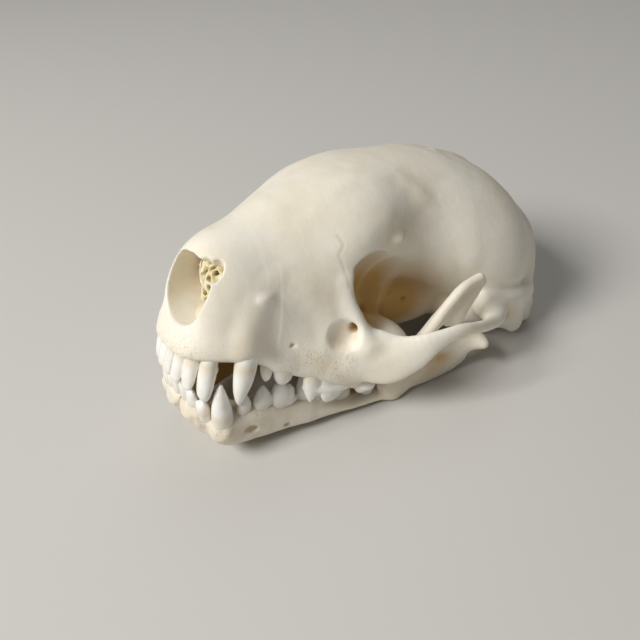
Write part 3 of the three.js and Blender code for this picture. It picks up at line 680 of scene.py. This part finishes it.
# lower jaw, the left half; the right one is its mirror image
jaw = {
    "box": ((-0.3, 0.5, -9.8), (18, 42, 14)), "middleGapMm": 0.08, "floorGapMm": 0.01,
    "joinMm": {"body": 0.5, "chin": 1.4, "front": 0.8, "canineRoot": 1.2, "toothRidge": 1.0, "coronoid": 1.0,
               "neck": 1.2, "joint": 0.8, "coronoidEdge": 0.5},
    "cutMm": {"muscleHollow": 1.0, "lips": 0.2},
    "broadMm": 0.07, "broadCellMm": 4.2, "fineMm": 0.04, "fineCellMm": 1.1, "frontFineMm": 0.09,
    "frontEnds": (10, 6), "body": {"span": (2.2, 39.9), "ends": 6,
             "centre": [(2.2, 1.7), (4.4, 3), (8.6, 5.4), (14.4, 7), (21, 8.6), (28.8, 11), (34.6, 12.6),
                        (39.9, 13.6)],
             "top": [(2.2, -3.9), (6, -3.3), (9.6, -3), (15, -3.9), (23, -4.6), (27, -3.6), (30.6, 0),
                     (34.6, 2.2), (39.9, 1.4)],
             "bottom": [(2.2, -6), (5, -8.4), (8, -8.6), (13, -7.9), (18, -6.9), (23, -5.6), (37.5, -2.7),
                        (39.9, -1.4)],
             "half": [(2.2, 1.5), (6, 2.2), (13.4, 1.9), (23, 1.8), (30.6, 1.3), (39.9, 0.9)],
             "middle": [(2.2, -4.8), (8, -6), (19, -5.6), (27, -4.6), (34.6, -1), (39.9, 0)]},
    "chin": ((1.6, 6.2, -6.6), (2.4, 3.9, 1.9), (-26, 0, 0)),
    "canineRoot": [(6.0, 5.0, -5.9, 1.45, 1.6), (5.7, 6.2, -6.9, 1.5, 1.6), (5.6, 8.6, -6.9, 1.4, 1.5)],
    "toothRidge": [(5.9, 5.6, -5.2, 1.5, 1.3), (6.6, 8, -4.4, 1.1, 1.2), (7, 10.6, -4.3, 1.1, 1.2),
                   (7.4, 13.2, -4.8, 1.1, 1.2), (7.9, 16.4, -5.3, 1.2, 1.2)],
    "coronoid": [(11.8, 27.6, -3.6, 1, 2.0), (12.6, 30.4, 0.8, 0.75, 2.6), (13.4, 33.0, 5, 0.58, 2.5),
                 (14, 34.5, 8.2, 0.52, 2.1), (14.4, 36.1, 11, 0.5, 1.7), (14.7, 37.5, 12.5, 0.5, 0.9)],
    "coronoidEdge": [(11.4, 26.6, -2.6, 0.8, 0.8), (12.5, 29.4, 2, 0.75, 0.8), (13.3, 31.2, 5.8, 0.72, 0.75),
                     (14, 33, 9.6, 0.7, 0.7), (14.4, 34.4, 11.8, 0.66, 0.66), (14.7, 37, 13, 0.55, 0.55)],
    "neck": [(12.6, 32, 0, 0.8, 2.2), (13.6, 36.6, 1.4, 0.8, 1.9), (14.6, 39.6, 2.8, 1.1, 1.2)],
    "joint": ((14.3, 40, 2.9), (2.5, 1.15, 1.15)),
    "muscleHollow": ((15.2, 34.2, 3.4), (1.9, 5.2, 2.8), (-48, 0, -10)),
    "front": ((1.5, 3.7, -4.4), (2.3, 1.5, 1.4), (-10, 0, 0)),
    "lips": [((7.5, 8.3, -5.9), (0.7, 1.0, 0.65)), ((8.7, 13.2, -6.4), (0.7, 0.4, 0.3))]}

field = newField(*jaw["box"], detail["jawVoxelMm"])
joins, cuts = jaw["joinMm"], jaw["cutMm"]
grow(field, loft(jaw["body"]), joins["body"])
for part in ("chin", "front"):
    grow(field, egg(*jaw[part]), joins[part])
for part in ("canineRoot", "toothRidge", "coronoid", "neck"):
    grow(field, bar(jaw[part]), joins[part])
grow(field, egg(*jaw["joint"]), joins["joint"])
carve(field, egg(*jaw["muscleHollow"]), cuts["muscleHollow"])
grow(field, bar(jaw["coronoidEdge"]), joins["coronoidEdge"])
for centre, radii in jaw["lips"]:
    carve(field, egg(centre, radii), cuts["lips"])
rearEnd, fadeMm = jaw["frontEnds"]   # the bone round the front teeth is lumpier, up to here
front = np.clip((rearEnd - field["axes"][1]) / fadeMm, 0, 1)[None, :, None]
field["value"] += (jaw["broadMm"] * unevenness(field, jaw["broadCellMm"], 11)
                   + (jaw["fineMm"] + jaw["frontFineMm"] * front) * unevenness(field, jaw["fineCellMm"], 12))
gx, gy, gz = acrossGrid(field["axes"])
field["value"] = np.maximum(field["value"], jaw["middleGapMm"] - gx)
floorTilt = math.radians(restPose["noseUpDegrees"])
aboveFloor = gz * math.cos(floorTilt) - gy * math.sin(floorTilt) + restPose["moveMm"][2]
field["value"] = np.maximum(field["value"], jaw["floorGapMm"] - aboveFloor)
points, faces = meshOf(field)
# jaw spots, kept to hollows: the bone's own stain plus painted shade
jawStainAndShadeSpots = [((7, 8, -3), 1.4), ((8, 13.2, -6.3), 0.4), ((11.6, 34, 1), 3)]
jawPores = [((6.4, 5, -5.4), 2.2), ((4, 3, -5), 2.4), ((7.4, 9, -4.2), 1.8), ((13.6, 39, 0), 2.4)]
looks = boneAttributes(field, points, jawStainAndShadeSpots, jawPores, [])
# the inner side gets painted shade and amber glow along the cheek teeth, fading to both ends
innerShadeAndGlow = {"overMm": 1.4, "most": 0.9, "rear": 30, "rearFadeMm": 6, "front": 6, "frontFadeMm": 3}
along = points[:, 1]
innerSide = asCurve(jaw["body"]["centre"])(along) - points[:, 0]
innerSide = (np.clip(innerSide / innerShadeAndGlow["overMm"], 0, innerShadeAndGlow["most"])
             * np.clip((innerShadeAndGlow["rear"] - along) / innerShadeAndGlow["rearFadeMm"], 0, 1)
             * np.clip((along - innerShadeAndGlow["front"]) / innerShadeAndGlow["frontFadeMm"], 0, 1))
looks["stainAndShade"] = np.maximum(looks["stainAndShade"], innerSide)
for name, over in (("jawLeft", False), ("jawRight", True)):
    half = pieceOf(name, points, faces, jawBone, looks, turnOver=over)
    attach(half, "root")
    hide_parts("mandible_right" if over else "mandible_left")

# teeth: each is a few cusps, given as x, y, z, half width, half length from the root to the tip
toothShape = {"collarMm": 0.2, "cuspMm": 0.22, "unevenMm": 0.02, "unevenCellMm": 0.7, "neckMm": 1.3}
upperTeeth = {
    "cusps": [
        [(1, 2, 4.8, 0.8, 0.6), (0.98, 1.6, 3, 0.92, 0.74), (0.97, 1.25, 1.3, 0.95, 0.66),
         (0.95, 1, 0.3, 0.92, 0.5), (0.95, 0.95, -0.1, 0.74, 0.34)],
        [(2.75, 2.5, 4.8, 0.85, 0.7), (2.8, 2.1, 3, 0.98, 0.84), (2.82, 1.75, 1.2, 1.02, 0.76),
         (2.84, 1.5, 0.1, 0.96, 0.55), (2.85, 1.45, -0.3, 0.74, 0.34)],
        [(4.5, 3.6, 5.2, 0.8, 0.9), (4.75, 3.1, 3.2, 1.1, 1.05), (4.9, 2.75, 1.2, 1.16, 1.0),
         (5, 2.6, -0.2, 0.98, 0.8), (5.05, 2.6, -0.85, 0.66, 0.5)],
        [(6.4, 7.9, 6.4, 1, 1.2), (6.75, 7.0, 4.2, 1.24, 1.45), (6.95, 6.7, 2.2, 1.2, 1.35),
         (7.05, 6.4, 0.5, 0.95, 1.0), (7.05, 6.3, -0.9, 0.58, 0.6), (7, 6.3, -1.6, 0.3, 0.3)],
        [(7.1, 9.5, 4.2, 0.45, 0.6), (7.35, 9.6, 2.6, 0.62, 0.85), (7.45, 9.65, 1.6, 0.55, 0.62),
         (7.45, 9.65, 1.1, 0.3, 0.34)],
        [(7.7, 12, 3.4, 0.7, 1.1), (7.9, 11.95, 1.7, 0.9, 1.45), (7.95, 11.9, 0.8, 0.72, 1.05),
         (7.9, 11.9, 0.3, 0.3, 0.45)],
        [(9, 16, 2.4, 0.8, 1.2), (9.2, 15.8, 0, 1.05, 1.45), (9.45, 15.55, -1.6, 0.72, 0.85),
         (9.5, 15.5, -2.85, 0.14, 0.14)],
        [(9.9, 18.2, 0.9, 0.8, 2), (10.3, 18.8, -1.2, 0.8, 2.4), (10.4, 19.2, -1.9, 0.4, 2),
         (10.5, 19.4, -2.3, 0.18, 1.5)],
        [(8.3, 16.4, 1.8, 0.8, 1), (8.1, 16.3, -0.4, 0.85, 1), (8, 16.2, -1.3, 0.25, 0.3)],
        [(10.8, 23.2, 0, 0.9, 1.7), (11.1, 23.2, -1.8, 0.8, 1.6), (11.2, 23.2, -2.5, 0.3, 1.1)],
        [(8.9, 23, 0.8, 0.9, 1.1), (8.7, 23, -1.6, 0.9, 1), (8.6, 23, -2.6, 0.2, 0.2)]],
    "box": ((0.1, 0, -3.6), (12.6, 26, 9)), "gumLine": [(0, 3.6), (8, 3.2), (15, 1), (25, -0.6)],
    "collars": [((9.9, 17.9, -0.8), (1.3, 3.6, 0.9), (0, 0, -17)),
                ((10.2, 23.3, -1.5), (2.2, 1.9, 1), (0, 0, 0)),
                ((7.85, 12.2, 2), (1, 1.75, 0.5), (0, 0, -9)),
                ((4.75, 3.2, 2.9), (1.05, 1.1, 0.5), (0, 0, 0))]}
lowerTeeth = {
    "cusps": [
        [(0.95, 3.4, -5, 0.5, 0.5), (0.93, 2.7, -2.9, 0.74, 0.62), (0.92, 2.2, -1.6, 0.76, 0.5),
         (0.92, 2.1, -1.2, 0.6, 0.34)],
        [(2.3, 3.6, -5.2, 0.6, 0.6), (2.4, 2.9, -3.2, 0.8, 0.7), (2.45, 2.5, -1.9, 0.82, 0.56),
         (2.45, 2.4, -1.5, 0.62, 0.36)],
        [(3.7, 4.2, -5.6, 0.7, 0.8), (3.95, 3.5, -3.9, 0.95, 0.85), (4.1, 3.1, -2.8, 0.9, 0.7),
         (4.15, 3.05, -2.3, 0.55, 0.4)],
        [(5.6, 6.2, -6.6, 0.9, 1.1), (6, 5.1, -4.8, 1.25, 1.4), (6.1, 4.6, -2.8, 1.2, 1.3),
         (6.1, 4.25, -1, 0.9, 0.95), (6.05, 4.15, 0.2, 0.52, 0.54), (6.05, 4.15, 0.85, 0.26, 0.26)],
        [(6.4, 7.6, -5, 0.6, 0.9), (6.55, 7.5, -2.8, 0.75, 1.0), (6.55, 7.4, -1.6, 0.5, 0.6),
         (6.5, 7.4, -1.0, 0.24, 0.28)],
        [(6.7, 10.1, -5, 0.7, 1.2), (6.9, 10, -2.5, 0.9, 1.35), (6.9, 9.8, -1.2, 0.6, 0.8),
         (6.85, 9.8, -0.45, 0.24, 0.3)],
        [(7.2, 12.7, -5, 0.75, 1.4), (7.3, 12.5, -2.5, 1.0, 1.5), (7.3, 12.1, -1.0, 0.72, 0.95),
         (7.2, 12, -0.25, 0.26, 0.3)],
        [(7.4, 13.8, -4, 0.7, 0.8), (7.35, 13.6, -1.9, 0.72, 0.8), (7.3, 13.5, -1.1, 0.3, 0.35)],
        [(7.4, 16.6, -5.4, 0.7, 1.3), (7.2, 16.4, -2.6, 0.85, 1.3), (6.95, 16.2, -1, 0.5, 0.8),
         (6.9, 16.2, 0, 0.14, 0.3)],
        [(7.6, 18.8, -5.4, 0.8, 1.4), (7.3, 18.8, -2.4, 0.85, 1.4), (6.95, 18.9, -0.7, 0.5, 0.8),
         (6.85, 18.9, 0.35, 0.14, 0.3)],
        [(8.4, 21.8, -4.9, 0.8, 1.5), (8.4, 21.8, -4.2, 1.1, 1.6), (8.3, 21.8, -3.5, 0.6, 0.9)],
        [(9.6, 25.4, -4.4, 0.7, 0.9), (9.6, 25.4, -3.9, 0.9, 1.1), (9.6, 25.4, -3.4, 0.5, 0.6)]],
    "box": ((0.15, 1.6, -8.6), (11.2, 27.4, 1.8)), "gumLine": [(1, -4), (9, -3.4), (15, -4.2), (27, -4.6)],
    "collars": [((7.2, 13.2, -3.1), (1.05, 1.9, 0.6), (0, 0, -10)),
                ((7.5, 18.4, -3.2), (1.1, 3.6, 0.8), (0, 0, -14)),
                ((5.95, 5.1, -4.6), (1.25, 1.4, 0.6), (0, 0, 0))]}


def makeTeeth(name, teeth):
    field = newField(*teeth["box"], detail["toothVoxelMm"])
    for collar in teeth["collars"]:
        grow(field, egg(*collar), toothShape["collarMm"])
    for stations in teeth["cusps"]:
        grow(field, bar(stations, reference=(0, 1, 0), steps=4), toothShape["cuspMm"])
    field["value"] += toothShape["unevenMm"] * unevenness(field, toothShape["unevenCellMm"], 21)
    points, faces = meshOf(field, whole=False)
    gum = curveThrough(teeth["gumLine"])(points[:, 1])
    neck = np.clip(1 - np.abs(points[:, 2] - gum) / toothShape["neckMm"], 0, 1)
    for side, over in (("Left", False), ("Right", True)):
        row = pieceOf(name + side, points, faces, enamel, {"neck": neck}, turnOver=over)
        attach(row, "root")


makeTeeth("upperTeeth", upperTeeth)
makeTeeth("lowerTeeth", lowerTeeth)
print("teeth made")

# floor, light and camera; the places and sizes of the floor and lights are in metres
floorLook = {"colour": "#D0CECA", "halfSizeM": 3.0, "roughness": 0.9}
floorMesh = bpy.data.meshes.new("floor")
s = floorLook["halfSizeM"]
floorMesh.from_pydata([(-s, -s, 0), (s, -s, 0), (s, s, 0), (-s, s, 0)], [], [(0, 1, 2, 3)])
floorPaper, tree = newMaterial("matteFloor")   # matte painted board: even, soft, no gloss
shader = addNode(tree, "ShaderNodeBsdfPrincipled",
                 {"Base Color": linearOf(floorLook["colour"]), "Roughness": floorLook["roughness"]})
addNode(tree, "ShaderNodeOutputMaterial", {}, {"Surface": shader.outputs[0]})
floorMesh.materials.append(floorPaper)
floor = bpy.data.objects.new("floor", floorMesh)
bpy.context.scene.collection.objects.link(floor)

lightsAimM = (0, 0, 0.012)
worldLook = {"tint": (1.0, 0.98, 0.94, 1), "strength": 0.14}
lights = [
    {"name": "key", "at": (-0.03, -0.38, 0.37), "size": 0.2, "watts": 2.5, "tint": (1.0, 0.985, 0.96)},
    {"name": "fill", "at": (0.42, -0.22, 0.20), "size": 0.40, "watts": 0.05, "tint": (1.0, 0.99, 0.97)},
    {"name": "top", "at": (-0.16, 0.20, 0.45), "size": 0.30, "watts": 0.28, "tint": (1.0, 1.0, 1.0)}]
for lamp in lights:
    data = bpy.data.lights.new(lamp["name"], "AREA")
    data.size = lamp["size"]
    data.energy = lamp["watts"]
    data.color = lamp["tint"]
    lightObject = bpy.data.objects.new(lamp["name"], data)
    lightObject.location = lamp["at"]
    aim = Vector(lightsAimM) - Vector(lamp["at"])
    lightObject.rotation_euler = aim.to_track_quat("-Z", "Y").to_euler()
    bpy.context.scene.collection.objects.link(lightObject)
world = bpy.data.worlds.new("studio")
world.use_nodes = True
backdrop = world.node_tree.nodes["Background"]
backdrop.inputs["Color"].default_value = worldLook["tint"]
backdrop.inputs["Strength"].default_value = worldLook["strength"]
bpy.context.scene.world = world

# the camera as it stood to the skull in the photograph, in the skull's frame
shot = {"azimuth": 46.52, "elevation": 28.34, "roll": 9.27, "distanceMm": 101.98, "focalPixels": 737.4,
        "shiftMm": (-5.72, -8.13), "targetMm": (0, 30, 10), "sensorMm": 36, "framePixels": 640,
        "nearestM": 0.002}
azimuth, elevation, roll = (math.radians(shot[key]) for key in ("azimuth", "elevation", "roll"))
back = Vector((math.sin(azimuth) * math.cos(elevation), -math.cos(azimuth) * math.cos(elevation),
               math.sin(elevation)))
level = Vector((math.cos(azimuth), math.sin(azimuth), 0))
rise = back.cross(level)
right = level * math.cos(roll) + rise * math.sin(roll)
up = -level * math.sin(roll) + rise * math.cos(roll)
eye = (Vector(shot["targetMm"]) + back * shot["distanceMm"]
       + right * shot["shiftMm"][0] + up * shot["shiftMm"][1])
turn = toFrame.to_3x3().normalized() @ Matrix((right, up, back)).transposed()
cameraData = bpy.data.cameras.new("camera")
cameraData.sensor_width = shot["sensorMm"]
cameraData.lens = shot["focalPixels"] * shot["sensorMm"] / shot["framePixels"]
cameraData.clip_start = shot["nearestM"]
camera = bpy.data.objects.new("camera", cameraData)
camera.matrix_world = Matrix.Translation(toFrame @ eye) @ turn.to_4x4()
bpy.context.scene.collection.objects.link(camera)
bpy.context.scene.camera = camera
bpy.context.scene.view_settings.view_transform = "Standard"
